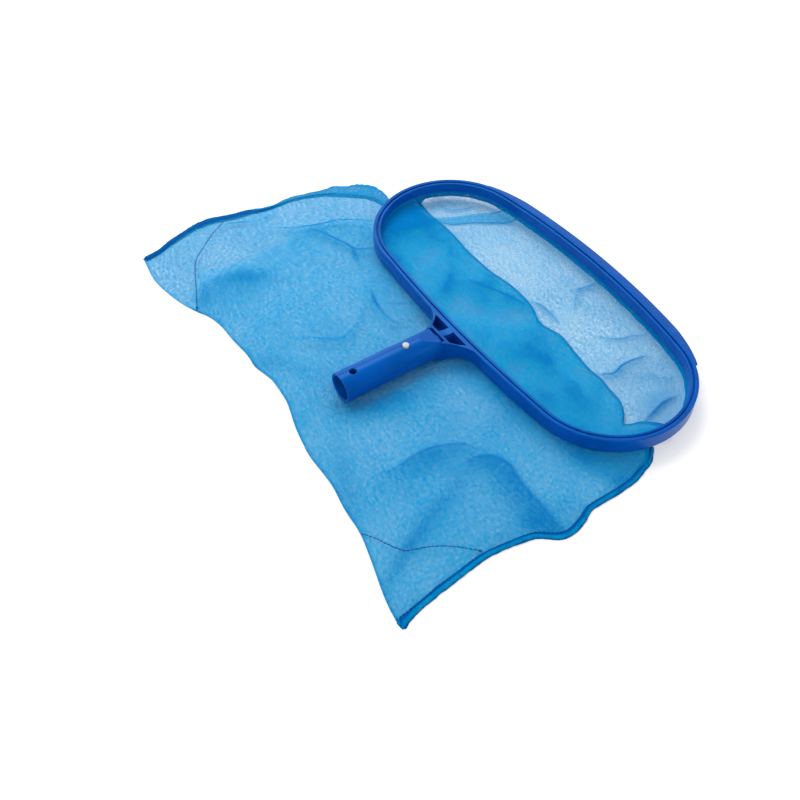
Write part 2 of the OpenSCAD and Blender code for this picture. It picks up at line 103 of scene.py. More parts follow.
def moulded(name, plastic, rubbed, rub, gloss, grain, shine=BLUE_GLOSS, corner=0.0005):
    """A moulded plastic: the skin's colour and roughness, its grain as a bump grain metres deep, and
    corners that catch the light as if rounded by corner metres."""
    material = bpy.data.materials.new(name)
    material.use_nodes = True
    tree = material.node_tree
    shader = tree.nodes["Principled BSDF"]
    skin = wire(tree, "Group")
    skin.node_tree = moulded_skin
    tree.links.new(wire(tree, "TexCoord").outputs["Object"], skin.inputs["Place"])
    for label, value in (("Plastic", plastic), ("Rubbed", rubbed), ("Rub", rub), ("Gloss", gloss)):
        skin.inputs[label].default_value = value
    rounded = wire(tree, "Bevel", {"Radius": corner}, samples=4)
    bump = wire(tree, "Bump", {"Height": skin.outputs["Grain"], "Normal": rounded.outputs[0],
                               "Strength": 0.35, "Distance": grain})
    tree.links.new(skin.outputs["Colour"], shader.inputs["Base Color"])
    tree.links.new(skin.outputs["Roughness"], shader.inputs["Roughness"])
    tree.links.new(bump.outputs[0], shader.inputs["Normal"])
    shader.inputs["Specular IOR Level"].default_value = 0.37
    shader.inputs["Specular Tint"].default_value = shine
    return material


def dressed(nodes, material):
    """The same material on each of the frame's nodes."""
    for node in nodes:
        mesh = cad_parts[node].data
        mesh.materials.clear()
        mesh.materials.append(material)


dressed(("hoop_frame", "spigot", "net_retainer"),
        moulded("frame_plastic", FRAME_BLUE, RUBBED_BLUE, 0.35, 0.30, 0.00012))
dressed(("scoop_lip",), moulded("lip_plastic", FRAME_BLUE, RUBBED_BLUE, 0.45, 0.36, 0.00012))

# Hem: the bag's mouth, turned over a cord and stitched, held between the rim's wall and the retainer.
# It is doubled mesh, a deeper blue, and shows from the retainer's foot to where the net starts.
# It follows the rim line: a near and a far side of large radius and two round ends, all tangent.
MM = 0.001
HEM_BLUE = (0.0, 0.27, 0.70, 1)
HEM_SHADE = (0.0, 0.12, 0.42, 1)
# The paler blue of loose net, partly a painted highlight.
PALE_NET_AND_HIGHLIGHT = (0.16, 0.56, 0.88, 1)
NEAR_Y, NEAR_R, FAR_R, END_R, END_X = 126.0, 1500.0, 770.0, 79.0, 120.0
near_turn = np.arcsin(END_X / (NEAR_R - END_R))
far_turn = np.arcsin(END_X / (FAR_R - END_R))
HOOP_Y = NEAR_Y + NEAR_R - (NEAR_R - END_R) * np.cos(near_turn)
FAR_CY = HOOP_Y - (FAR_R - END_R) * np.cos(far_turn)
QUARTER = np.pi / 2
# Each arc of the rim line: its centre's x and y, its radius, and its first and last angle.
RIM_ARCS = ((0.0, NEAR_Y + NEAR_R, NEAR_R, -QUARTER - near_turn, -QUARTER + near_turn),
            (END_X, HOOP_Y, END_R, -QUARTER + near_turn, QUARTER - far_turn),
            (0.0, FAR_CY, FAR_R, QUARTER - far_turn, QUARTER + far_turn),
            (-END_X, HOOP_Y, END_R, QUARTER + far_turn, 3 * QUARTER - near_turn))
arc_ends = np.cumsum([r * (a1 - a0) for _, _, r, a0, a1 in RIM_ARCS])


def rim_line(run, off):
    """Points on the rim line, run millimetres along it from its near left end and off outside it: on each
    arc, centre + (radius + off) * (cos a, sin a)."""
    run, off = np.broadcast_arrays(np.asarray(run, float) % arc_ends[-1], np.asarray(off, float))
    which = np.minimum(np.searchsorted(arc_ends, run, side="right"), 3)
    cx, cy, r, _, a1 = (np.array(column)[which] for column in zip(*RIM_ARCS))
    angle = a1 - (arc_ends[which] - run) / r
    return cx + (r + off) * np.cos(angle), cy + (r + off) * np.sin(angle)


def sheet_mesh(name, grid, gather_and_shade, closed=False, kept=None):
    """A grid of points in millimetres, rows by columns, as smooth quads. Its UV map holds the way along
    rows and columns on the flat cloth, in metres, and gather_and_shade holds how bunched (+) or loose (-)
    it is, with painted shade added as bunching."""
    rows, columns = grid.shape[:2]
    index = np.arange(rows * columns).reshape(rows, columns)
    around = np.concatenate([grid, grid[:, :1]], 1) if closed else grid
    if closed:
        index = np.hstack([index, index[:, :1]])
    across = np.r_[0, np.cumsum(np.linalg.norm(np.diff(around, axis=1), axis=2).mean(0))]
    along = np.r_[0, np.cumsum(np.linalg.norm(np.diff(grid, axis=0), axis=2).mean(1))]
    flat = np.stack(np.meshgrid(across, along), -1) * MM

    def corners(table):
        return np.stack([table[:-1, :-1], table[:-1, 1:], table[1:, 1:], table[1:, :-1]], 2)

    quads, uv = corners(index), corners(flat)
    if kept is not None:
        quads, uv = quads[kept], uv[kept]
    mesh = bpy.data.meshes.new(name)
    mesh.from_pydata((grid.reshape(-1, 3) * MM).tolist(), [], quads.reshape(-1, 4).tolist())
    mesh.uv_layers.new(name="flat_cloth").data.foreach_set("uv", uv.astype(np.float32).ravel())
    gather_and_shade = np.broadcast_to(gather_and_shade, (rows, columns)).astype(np.float32)
    mesh.attributes.new("gather_and_shade", "FLOAT", "POINT").data.foreach_set("value", gather_and_shade.ravel())
    mesh.polygons.foreach_set("use_smooth", np.ones(len(mesh.polygons), bool))
    mesh.update()
    piece = bpy.data.objects.new(name, mesh)
    bpy.context.scene.collection.objects.link(piece)
    return piece


# The weave: threads at every whole count both ways, thick and thin by the noise of their slubs. Bunched
# net closes up and turns deeper, and loose net opens and turns paler. Painted shade is given as bunching,
# so shaded net is drawn closer and deeper too, and the paler colour of loose net is partly a painted
# highlight.
net_weave, weave_in, weave_out = effect_group(
    "net_weave",
    [("Flat", "Vector"), ("Count", "Float"), ("Gather_and_shade", "Float"), ("Open", "Float"), ("Woven", "Float"),
     ("Thread", "Color"), ("Bunched", "Color")],
    [("Colour", "Color"), ("Cover", "Float"), ("Height", "Float")])
slub = wire(net_weave, "TexNoise", {"Vector": weave_in.outputs["Flat"], "Scale": 375.0, "Detail": 2.0})
clump = wire(net_weave, "TexNoise", {"Vector": weave_in.outputs["Flat"], "Scale": 150.0, "Detail": 3.0})
drift = wire(net_weave, "TexNoise", {"Vector": weave_in.outputs["Flat"], "Scale": 22.0, "Detail": 3.0})
counted = wire(net_weave, "VectorMath", {0: weave_in.outputs["Flat"], "Scale": weave_in.outputs["Count"]},
               operation="SCALE")
waver = wire(net_weave, "VectorMath",
             {0: clump.outputs["Color"], 1: (1.3, 1.3, 0.0), 2: counted.outputs[0]},
             operation="MULTIPLY_ADD")
axes = wire(net_weave, "SeparateXYZ", {0: waver.outputs[0]})
threads = []
for axis in (0, 1):
    beat = maths(net_weave, "PINGPONG", axes.outputs[axis], 0.5)
    threads.append(spread(net_weave, beat, 0.10, 0.26, 1.0, 0.0))
crossed = maths(net_weave, "MAXIMUM", threads[0], threads[1])
span = maths(net_weave, "SUBTRACT", weave_in.outputs["Woven"], weave_in.outputs["Open"])
weave_cover = maths(net_weave, "MULTIPLY_ADD", crossed, span, weave_in.outputs["Open"])
slubbed = maths(net_weave, "MULTIPLY", spread(net_weave, slub.outputs[0], 0.25, 0.75, 0.28, 1.72),
                spread(net_weave, clump.outputs[0], 0.3, 0.7, 0.93, 1.07))
uneven = maths(net_weave, "MULTIPLY", slubbed, spread(net_weave, drift.outputs[0], 0.3, 0.7, 0.94, 1.06))
uneven_cover = maths(net_weave, "MULTIPLY", uneven, weave_cover)
loosened = maths(net_weave, "MULTIPLY", uneven_cover,
                 spread(net_weave, weave_in.outputs["Gather_and_shade"], -1.0, 0.0, 0.35, 1.0))
bunching = spread(net_weave, weave_in.outputs["Gather_and_shade"], 0.0, 1.0)
closed_up = wire(net_weave, "Mix", {0: bunching, 2: loosened, 3: 0.98}, data_type="FLOAT",
                 clamp_factor=True)
covered = maths(net_weave, "MINIMUM", closed_up.outputs[0], 0.995)
speckle = maths(net_weave, "ADD", spread(net_weave, slub.outputs[0], 0.35, 0.75, 0.0, 0.55),
                spread(net_weave, clump.outputs[0], 0.45, 0.75, 0.0, 0.12))
deepen = maths(net_weave, "ADD", bunching, speckle, use_clamp=True)
thread_colour = wire(net_weave, "Mix", {0: deepen, 6: weave_in.outputs["Thread"],
                                        7: weave_in.outputs["Bunched"]}, data_type="RGBA")
# Loose net mixes towards the paler blue, partly a painted highlight.
paled_and_highlit = wire(net_weave, "Mix", {0: spread(net_weave, weave_in.outputs["Gather_and_shade"], -1.0, 0.0, 0.45, 0.0),
                                6: thread_colour.outputs[2], 7: PALE_NET_AND_HIGHLIGHT}, data_type="RGBA")
net_weave.links.new(paled_and_highlit.outputs[2], weave_out.inputs["Colour"])
net_weave.links.new(covered, weave_out.inputs["Cover"])
net_weave.links.new(crossed, weave_out.inputs["Height"])


def net_cloth(name, pitch, open_share, woven_share, thread, bunched):
    """Woven net: threads every pitch millimetres both ways cover woven_share, the holes open_share."""
    material = bpy.data.materials.new(name)
    material.use_nodes = True
    tree = material.node_tree
    shader = tree.nodes["Principled BSDF"]
    net = wire(tree, "Group")
    net.node_tree = net_weave
    tree.links.new(wire(tree, "UVMap", uv_map="flat_cloth").outputs[0], net.inputs["Flat"])
    tree.links.new(wire(tree, "Attribute", attribute_name="gather_and_shade").outputs["Fac"], net.inputs["Gather_and_shade"])
    for label, value in (("Count", 1 / (pitch * MM)), ("Open", open_share), ("Woven", woven_share),
                         ("Thread", thread), ("Bunched", bunched)):
        net.inputs[label].default_value = value
    bump = wire(tree, "Bump", {"Height": net.outputs["Height"], "Strength": 0.4, "Distance": 0.00025})
    tree.links.new(net.outputs["Colour"], shader.inputs["Base Color"])
    tree.links.new(net.outputs["Cover"], shader.inputs["Alpha"])
    tree.links.new(bump.outputs[0], shader.inputs["Normal"])
    shader.inputs["Roughness"].default_value = 0.6
    shader.inputs["Specular IOR Level"].default_value = 0.05
    shader.inputs["Specular Tint"].default_value = BLUE_GLOSS
    return material


def soft_noise(x, y, size, seed):
    """Smooth heights from -1 to 1: random values on a square lattice of the given size, blended between
    its corners by 3t^2 - 2t^3."""
    cells = 64
    table = np.random.default_rng(seed).uniform(-1, 1, (cells, cells))
    ix, iy = np.floor(x / size).astype(int), np.floor(y / size).astype(int)
    tx, ty = x / size - ix, y / size - iy
    tx, ty = tx * tx * (3 - 2 * tx), ty * ty * (3 - 2 * ty)
    west, east, south, north = ix % cells, (ix + 1) % cells, iy % cells, (iy + 1) % cells
    low = table[west, south] * (1 - tx) + table[east, south] * tx
    high = table[west, north] * (1 - tx) + table[east, north] * tx
    return low * (1 - ty) + high * ty


# A section carried along the rim line, in millimetres outside the line and of height. From its held edge
# to its free one it wavers more and more, by 0.35 mm sideways and 0.1 mm in height times the ripple.
HEM_PROFILE = np.array([
    (-1.3, -3.3), (-1.4, -4.4), (-1.6, -5.5), (-1.9, -6.5), (-2.3, -7.4), (-3.0, -8.2), (-3.8, -8.9),
    (-4.8, -9.3), (-6.2, -9.6)])
hem_run = np.linspace(0, arc_ends[-1], 900, endpoint=False)
ripple = soft_noise(hem_run, 0 * hem_run, 12.0, 5) + 0.6 * soft_noise(hem_run, 0 * hem_run, 4.5, 6)
slack = np.linspace(0, 1, len(HEM_PROFILE))[:, None] ** 1.2
hem_x, hem_y = rim_line(hem_run[None, :], HEM_PROFILE[:, :1] + 0.35 * ripple * slack)
hem_z = HEM_PROFILE[:, 1:] + 0.1 * ripple * slack
hem_points = np.stack([hem_x, hem_y, hem_z], -1)[:, ::-1]
hem_band = sheet_mesh("hem_band", hem_points, 0.25 * slack ** 4, closed=True)
hem_band.data.materials.append(net_cloth("hem_cloth", 1.1, 1.7, 1.8, HEM_BLUE, HEM_SHADE))
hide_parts("hem_tape")
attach(hem_band, "net")

# Bag, lower layer: one width of fine blue net that lies on the ground, from the bottom fold to the far
# rim. Inside the hoop it is the only layer, so it shows pale, with a few pinched wrinkles.
THREAD_BLUE = (0.0, 0.56, 0.98, 1)
# The deeper blue of bunched net, also used as the colour of painted shade on the net.
BUNCHED_AND_SHADED_BLUE = (0.0, 0.21, 0.58, 1)
# In millimetres: the ground's height, the lock buttons' place along the spigot, and how far inside the
# rim line the hem holds the net. Then the grids' columns and rows.
FLOOR_Z, BUTTON_Y, HELD_IN = -17.85, 71.0, 2.8
COLUMNS, BAG_ROWS, HOOP_ROWS = 300, 170, 66


def smooth_path(points, count):
    """A smooth line through the points: each stretch is a cubic that leaves and arrives along half the step
    between its neighbours (Catmull-Rom), sampled evenly by length at count places."""
    p = np.array(points, float)
    p = np.vstack([2 * p[0] - p[1], p, 2 * p[-1] - p[-2]])
    t = np.linspace(0, 1, 24, endpoint=False)[None, :, None]
    a, b, c, d = (p[i:len(p) - 3 + i, None, :] for i in range(4))
    dense = (2 * b + (c - a) * t + (2 * a - 5 * b + 4 * c - d) * t ** 2
             + (3 * b - a - 3 * c + d) * t ** 3) / 2
    dense = np.vstack([dense.reshape(-1, p.shape[1]), p[-2:-1]])
    run = np.r_[0, np.cumsum(np.linalg.norm(np.diff(dense, axis=0), axis=1))]
    at = np.linspace(0, run[-1], count)
    return np.stack([np.interp(at, run, dense[:, k]) for k in range(p.shape[1])], -1)


def near_path(x, y, path):
    """Distance from each point to a path, positive on the path's left, and the share of the way along it:
    the nearest of its straight stretches counts."""
    best = np.full(x.shape, 1e9)
    side, share = np.zeros(x.shape), np.zeros(x.shape)
    for i, (a, step) in enumerate(zip(path[:-1], np.diff(path, axis=0))):
        t = np.clip(((x - a[0]) * step[0] + (y - a[1]) * step[1]) / (step @ step), 0, 1)
        dx, dy = x - a[0] - t * step[0], y - a[1] - t * step[1]
        d = np.hypot(dx, dy)
        closer = d < best
        best = np.where(closer, d, best)
        side = np.where(closer, np.sign(step[0] * dy - step[1] * dx), side)
        share = np.where(closer, (i + t) / (len(path) - 1), share)
    return best * np.where(side < 0, -1, 1), share


def folds_at(x, y, folds):
    """What a list of folds does to a sheet at x, y: its rise and how bunched it is, with painted shade.
    Each fold is a path, its widths to the left and right, and its rise and bunching, which fall off as
    exp(-(d / width)^2). That bunching is partly painted shade of the fold's slopes and hollows. Its last
    number is the bunching of its crease, which falls off as exp(-(d / 1.5)^2)."""
    rise, gather_and_shade = np.zeros(x.shape), np.zeros(x.shape)
    for points, left, right, height, bunch_and_shade, crease in folds:
        off, share = near_path(x, y, smooth_path(points, 4 * len(points)))
        taper = np.sin(np.pi * np.clip(share * 0.9 + 0.05, 0, 1)) ** 0.6
        shape = taper * np.exp(-(off / np.where(off > 0, left, right)) ** 2)
        rise = rise + height * shape
        gather_and_shade = gather_and_shade + bunch_and_shade * shape + crease * taper * np.exp(-(off / 1.5) ** 2)
    return rise, gather_and_shade


def blended(a, b, share):
    """From a to b by a share from 0 to 1."""
    return a * (1 - share) + b * share


def inside_edges(bottom, top, left, right):
    """A grid stretched between four edges (a Coons patch): bottom and top blended by v, plus left and right
    blended by u, less the blend of the four corners."""
    v = np.linspace(0, 1, len(left))[:, None, None]
    u = np.linspace(0, 1, len(bottom))[None, :, None]
    across = blended(bottom[None], top[None], v)
    along = blended(left[:, None], right[:, None], u)
    corners = blended(blended(bottom[0], bottom[-1], u), blended(top[0], top[-1], u), v)
    return across + along - corners


BOTTOM_FOLD = smooth_path([
    (-278, -69), (-245, -73), (-219, -70), (-198, -65), (-180, -58), (-166, -51), (-149, -47),
    (-124, -46), (-99, -44), (-82, -45), (-68, -42), (-56, -40), (-34, -41), (-22, -43), (3, -50),
    (24, -54), (40, -56), (74, -56), (102, -60), (129, -62), (151, -67), (169, -72), (187, -77),
    (201, -80), (217, -82)], COLUMNS)
LEFT_OUTER = smooth_path([
    (-281, -70), (-284, -51), (-291, -36), (-298, -14), (-301, 1), (-302, 14), (-298, 29), (-295, 41),
    (-292, 57), (-285, 75), (-283, 88), (-285, 104), (-283, 118), (-279, 134), (-276, 149), (-275, 160),
    (-268, 171), (-262, 184), (-252, 194), (-237, 199), (-218, 198), (-200, 200)], BAG_ROWS)
LEFT_INNER = smooth_path([
    (-274, -69), (-277, -52), (-282, -38), (-288, -18), (-291, -3), (-291, 13), (-288, 29), (-284, 42),
    (-282, 58), (-278, 75), (-277, 90), (-277, 104), (-274, 118), (-268, 134), (-259, 149), (-248, 161),
    (-238, 173), (-226, 182), (-208, 186), (-193, 190)], BAG_ROWS)
RIGHT_OUTER = smooth_path([
    (224, -81), (219, -70), (215, -51), (212, -28), (210, -10), (208, 5), (208, 18), (211, 38), (215, 55),
    (226, 70), (229, 82), (225, 99), (219, 113), (219, 133), (218, 158), (214, 174), (209, 188),
    (203, 196), (197, 202)], BAG_ROWS)
RIGHT_INNER = smooth_path([
    (212, -82), (211, -70), (209, -55), (206, -38), (204, -16), (202, 0), (202, 16), (205, 38), (209, 57),
    (219, 72), (222, 82), (218, 98), (213, 112), (213, 132), (212, 157), (208, 172), (203, 184),
    (197, 192), (190, 198)], BAG_ROWS)
left_edge, right_edge = (LEFT_OUTER + LEFT_INNER) / 2, (RIGHT_OUTER + RIGHT_INNER) / 2
mouth_row = np.linspace((-196, 203), (193, 205), COLUMNS)


def side_to(edge, corner):
    """A side seam's middle line, carried on to a corner of the sheet."""
    return smooth_path(np.vstack([edge[::13], corner[None]]), BAG_ROWS)


# The sheet lies between the bottom fold, the two side seams and a row across the hoop's near end. Inside
# the hoop it goes on to the far rim, where the hem holds it along the far side and the round ends.
lower_bag = inside_edges(BOTTOM_FOLD, mouth_row, side_to(left_edge, mouth_row[0]),
                         side_to(right_edge, mouth_row[-1]))
held_reach = END_X + END_R - HELD_IN
round_from = END_X * 1.113
held_x = np.clip(mouth_row[:, 0], -held_reach, held_reach)
round_end_y = HOOP_Y + np.sqrt(np.maximum((END_R - HELD_IN) ** 2 - (np.abs(held_x) - END_X) ** 2, 0))
long_side_y = FAR_CY + np.sqrt((FAR_R - HELD_IN) ** 2 - held_x ** 2)
far_row = np.stack([held_x, np.where(np.abs(held_x) > round_from, round_end_y, long_side_y)], -1)
lower_hoop = blended(mouth_row[None], far_row[None], np.linspace(0, 1, HOOP_ROWS)[1:, None, None])
lower_xy = np.concatenate([lower_bag, lower_hoop])
lx, ly = lower_xy[..., 0], lower_xy[..., 1]
PINCHES = (
    (((68, 249), (78, 257), (84, 266), (87, 277), (95, 286)), 3, 11, 1.5, 0.10, 0.55),
    (((103, 214), (110, 221), (114, 229), (111, 241), (111, 255), (113, 270)), 3, 12, 2.6, 0.12, 0.85),
    (((173, 212), (169, 229), (166, 244), (167, 258)), 11, 3, 2.2, 0.12, 0.80),
    (((4, 270), (8, 278), (10, 287), (19, 296)), 2, 6, 1.4, 0.16, 0.50),
    (((28, 252), (14, 268), (8, 278)), 3, 7, 0.9, 0.16, 0.10),
    (((-6, 226), (5, 230), (22, 230), (34, 228)), 2, 4, 1.9, 0.18, 0.55),
    (((-181, 237), (-167, 241), (-161, 252), (-158, 267)), 2, 4, 1.4, 0.14, 0.45),
    (((-188, 232), (-183, 243), (-170, 252)), 3, 3, 0.9, 0.10, 0.25),
    (((128, 250), (142, 262), (150, 276)), 4, 9, 0.8, 0.10, 0.12),
    (((-100, 246), (-60, 262), (-20, 266)), 10, 14, 0.5, -0.08, 0.0))


def rim_depth(x, y):
    """How far a point lies inside the rim line, negative outside: the radius less the distance to the
    centre, for the round ends where they are nearest, else for the nearer of the long sides."""
    ends = END_R - np.hypot(np.abs(x) - END_X, y - HOOP_Y)
    sides = np.minimum(NEAR_R - np.hypot(x, y - NEAR_Y - NEAR_R), FAR_R - np.hypot(x, y - FAR_CY))
    return np.where(np.abs(x) > END_X, ends, sides)


def smoothly(value, low, high):
    """0 below low, 1 above high, and 3t^2 - 2t^3 between them."""
    t = np.clip((value - low) / (high - low), 0, 1)
    return t * t * (3 - 2 * t)


def net_climb(x, y):
    """How far the net rises from the ground to the hem along the far rim and the round ends: 8 mm at the
    hem, falling to nothing 13 mm inside it as (1 - t)^1.4 of a smooth step t."""
    return 8.0 * (1 - smoothly(rim_depth(x, y), 2.4, 15.0)) ** 1.4 * smoothly(y, 203, 219)


# The lower layer's height is the ground's, plus soft noise, a looser wave inside the hoop, the pinches
# and the climb to the hem. The lower lock button presses it flat.
pinch_rise, lower_gather = folds_at(lx, ly, PINCHES)
lower_gather = lower_gather + 0.10 * soft_noise(lx, ly, 40, 14) + 0.06 * soft_noise(lx, ly, 13, 15)
lower_gather = lower_gather + 0.15 * smoothly(lx, 95, 160) * smoothly(ly, 200, 215)
lower_z = FLOOR_Z + 0.45 + 0.3 * soft_noise(lx, ly, 46, 11) + 0.12 * soft_noise(lx, ly, 15, 12)
lower_z = lower_z + smoothly(ly, 212, 232) * (0.7 + 0.7 * soft_noise(lx, ly, 34, 13)) + pinch_rise
lower_z = np.maximum(lower_z, FLOOR_Z + 0.05) + net_climb(lx, ly)
at_lower_button = np.exp(-(np.hypot(lx, ly - BUTTON_Y) / 9.0) ** 4)
lower_z = blended(lower_z, FLOOR_Z + 0.15, at_lower_button)
lower_gather[:1] += 0.6
lower_gather[1:2] += 0.2
bag_lower = sheet_mesh("bag_lower", np.dstack([lower_xy, lower_z]), lower_gather)
bag_net = net_cloth("bag_net", 1.5, 0.13, 0.68, THREAD_BLUE, BUNCHED_AND_SHADED_BLUE)
bag_lower.data.materials.append(bag_net)
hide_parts("bag_lower_layer")
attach(bag_lower, "net")

# Bag, upper layer: the same width of net, folded over at the bottom and lying on the lower one. It dips
# under the spigot, passes under the near rim, and is turned back inside the hoop to the near hem.
# Heights in millimetres: the plateau, a seam and the lowest fold, then where a moulded part lies over
# the net. Last, the turned edge's radius, and how far inside the rim line and how high the flap ends.
PLATEAU_Z, SEAM_Z, LOWEST_Z = -12.7, -17.1, -16.4
UNDER_RIM_Z, IN_HOOP_Z, UNDER_YOKE_Z = -10.2, -15.3, -14.4
UNDER_SPIGOT_Z, UNDER_BUTTON_Z = -16.3, -17.15
ROLL, FLAP_IN, FLAP_END_Z = 1.3, 4.6, -8.9
FOLD_LINE = smooth_path([
    (-198, 217), (-182, 216), (-163, 217), (-140, 218), (-119, 217), (-96, 215), (-63, 216), (-38, 220),
    (-18, 221), (2, 219), (22, 212), (34, 213), (50, 217), (73, 214), (96, 211), (113, 212), (128, 210),
    (143, 208), (155, 202), (165, 193), (170, 198), (173, 207), (179, 214), (186, 220),
    (195, 221)], COLUMNS)
UPPER_FOLDS = (
    (((-280, 22), (-274, 38), (-270, 47), (-266, 55)), 2.2, 2.2, 0.7, 0.30, 1.30),
    (((-265, 55), (-266, 68), (-267, 82)), 2.2, 2.2, 0.5, 0.20, 0.90),
    (((-254, 57), (-242, 69), (-232, 84), (-229, 93), (-222, 111), (-219, 124), (-207, 143), (-190, 160)),
     1.8, 17, 1.6, 0.30, 1.15),
    (((-218, 100), (-207, 105), (-196, 110), (-179, 116), (-166, 120), (-153, 136)),
     2.2, 9, 1.8, 0.28, 0.75),
    (((-168, 118), (-157, 114), (-147, 111)), 2.5, 3, 0.8, 0.24, 0.45),
    (((-92, -2), (-79, 15), (-64, 35), (-65, 51), (-77, 71), (-93, 86)), 3, 7, 1.1, 0.34, 0.36),
    (((-102, 98), (-93, 95), (-83, 92), (-70, 91)), 2, 6, 1.5, 0.26, 0.85),
    (((-72, 91), (-57, 91), (-48, 96)), 2, 6, 1.0, 0.20, 0.50),
    (((-79, 100), (-71, 110), (-65, 121)), 2.2, 3, 0.7, 0.16, 0.45),
    (((-190, -56), (-197, -42), (-203, -26), (-199, -6), (-190, 11), (-180, 28)), 11, 24, 1.2, 0.44, 0.0),
    (((-210, -12), (-204, 2), (-194, 12), (-187, 26)), 9, 11, -1.0, 0.22, 0.0),
    (((-205, -34), (-192, -48), (-176, -56)), 13, 3, 0.6, 0.20, 0.0),
    (((89, -16), (93, -2), (92, 12), (91, 26), (94, 42), (103, 59), (118, 72)), 3, 19, 2.0, 0.42, 0.34),
    (((122, 46), (126, 66), (133, 75), (145, 80), (160, 77), (176, 76), (192, 77), (209, 77), (224, 77)),
     4, 15, 2.4, 0.56, 0.30),
    (((140, 68), (163, 62), (184, 59), (206, 61)), 12, 14, -0.6, 0.22, 0.0),
    (((138, 36), (146, 8), (154, -11), (161, -26), (168, -42), (179, -62), (190, -80)),
     8, 8, -1.4, 0.46, 0.0),
    (((164, 132), (184, 138), (200, 146), (214, 153)), 12, 6, 1.2, 0.34, 0.12),
    (((205, 98), (202, 62), (200, 30), (199, 2)), 4, 10, 0, 0.20, 0.0),
    # Painted shadow of the hoop's right end on the net just outside it, with no rise.
    (((212, 182), (213, 168), (212, 157), (210, 147), (210, 136)), 9, 9, 0, 0.34, 0.0),
    (((222, 84), (216, 72), (208, 63), (198, 60)), 9, 9, 0, 0.34, 0.0),
    (((42, -32), (66, -38), (86, -50), (122, -60)), 12, 8, -0.5, 0.16, 0.0),
    (((-91, -50), (-73, -27), (-54, -13), (-38, 2)), 9, 9, 0.6, 0.20, 0.0),
    (((104, 6), (107, 31), (118, 48)), 10, 14, 0.4, 0.14, 0.0),
    # Painted shadow of the spigot on the net beside and below it: a deeper, closer band with no rise.
    (((0, -8), (14, 1), (23, 18), (28, 44), (34, 78)), 8, 15, 0, 0.55, 0.0))
PALE_EDGE = smooth_path([
    (-176, -70), (-196, -50), (-222, -35), (-219, -18), (-214, 8), (-217, 38), (-222, 70), (-226, 90),
    (-221, 110), (-214, 130), (-197, 152)], 60)
outline = np.vstack([left_edge[::-3], BOTTOM_FOLD[::4], right_edge[::3]])


def upper_bunching_and_shade(x, y):
    """How bunched the upper layer is, with painted shade: its folds, soft noise, looser net beyond the pale
    edge towards the left seam, closer net over the right half, and a painted shadow of the near rim on the
    net just outside it, on the right."""
    depth = rim_depth(x, y)
    gather_and_shade = folds_at(x, y, UPPER_FOLDS)[1]
    gather_and_shade = gather_and_shade + 0.10 * soft_noise(x, y, 34, 25) + 0.05 * soft_noise(x, y, 11, 26)
    beyond = smoothly(near_path(x, y, PALE_EDGE)[0], -7, 9)
    gather_and_shade = gather_and_shade - 0.55 * beyond * (1 - smoothly(depth, -4, 3))
    gather_and_shade = gather_and_shade + 0.05 * smoothly(x, 10, 130)
    # Painted shadow of the near rim: outside it the net is drawn closer and deeper, on the right, where the
    # rim's shadow falls.
    painted_rim_shadow = np.exp(-((depth + 4.0) / np.where(depth < -4.0, 11.0, 30.0)) ** 2)
    return gather_and_shade + 0.34 * painted_rim_shadow * smoothly(x, -30, 60)


def upper_height(x, y):
    """Height of the upper layer: a plateau that falls to the seams and the bottom fold by 1 - exp(-d / 16),
    with soft noise and folds, pushed up against the near rim and pressed down by the hoop's yoke, the
    spigot and the lower lock button. It stays above the lower layer."""
    lift = 1 - np.exp(-np.abs(near_path(x, y, outline)[0]) / 16.0)
    waves = 2.3 * soft_noise(x, y, 92, 21)
    z = PLATEAU_Z + waves + 1.2 * soft_noise(x, y, 43, 22) + 0.3 * soft_noise(x, y, 17, 23)
    z = SEAM_Z + (np.maximum(z + folds_at(x, y, UPPER_FOLDS)[0], LOWEST_Z) - SEAM_Z) * lift
    depth = rim_depth(x, y)
    pile = np.exp(-((depth + 1.0) / 13.0) ** 2) * (1 - smoothly(y, 200, 232))
    z = blended(z, UNDER_RIM_Z, pile)
    in_hoop_z = np.minimum(z, IN_HOOP_Z + 0.5 * soft_noise(x, y, 30, 24))
    z = blended(z, in_hoop_z, smoothly(depth, 14, 32))
    spigot = np.exp(-(np.abs(x) / 17.0) ** 4) * smoothly(y, -26, -4) * (1 - smoothly(y, 100, 118))
    z = blended(z, UNDER_SPIGOT_Z, spigot)
    z = blended(z, UNDER_BUTTON_Z, np.exp(-(np.hypot(x, y - BUTTON_Y) / 7.0) ** 4))
    yoke = (1 - smoothly(np.abs(x), 36, 56)) * smoothly(y, 82, 92) * (1 - smoothly(y, 120, 132))
    return np.maximum(blended(z, np.minimum(z, UNDER_YOKE_Z), yoke), FLOOR_Z + 0.9 + net_climb(x, y))


# The sheet lies between the bottom fold, the two side seams and the fold line inside the hoop. There it
# turns over a half circle of radius ROLL, and the flap runs straight back to the near hem.
upper_xy = inside_edges(BOTTOM_FOLD, FOLD_LINE, side_to(left_edge, FOLD_LINE[0]),
                        side_to(right_edge, FOLD_LINE[-1]))
upper_z = upper_height(upper_xy[..., 0], upper_xy[..., 1])
in_hoop = np.flatnonzero(rim_depth(FOLD_LINE[:, 0], FOLD_LINE[:, 1]) > 4.0)
turned = slice(in_hoop[0], in_hoop[-1] + 1)
crest = FOLD_LINE[turned]
left_hem_run = arc_ends[3] - (3 * QUARTER - near_turn - np.pi * 0.90) * END_R
right_hem_run = arc_ends[0] + (QUARTER - near_turn + 0.14) * END_R
flap_run = np.linspace(left_hem_run, right_hem_run + arc_ends[3], len(crest))
flap_end = np.stack(rim_line(flap_run, -FLAP_IN), -1)
roll = np.linspace(0, np.pi, 9)[1:, None]
outward = np.stack([-np.gradient(crest[:, 1]), np.gradient(crest[:, 0])], -1)
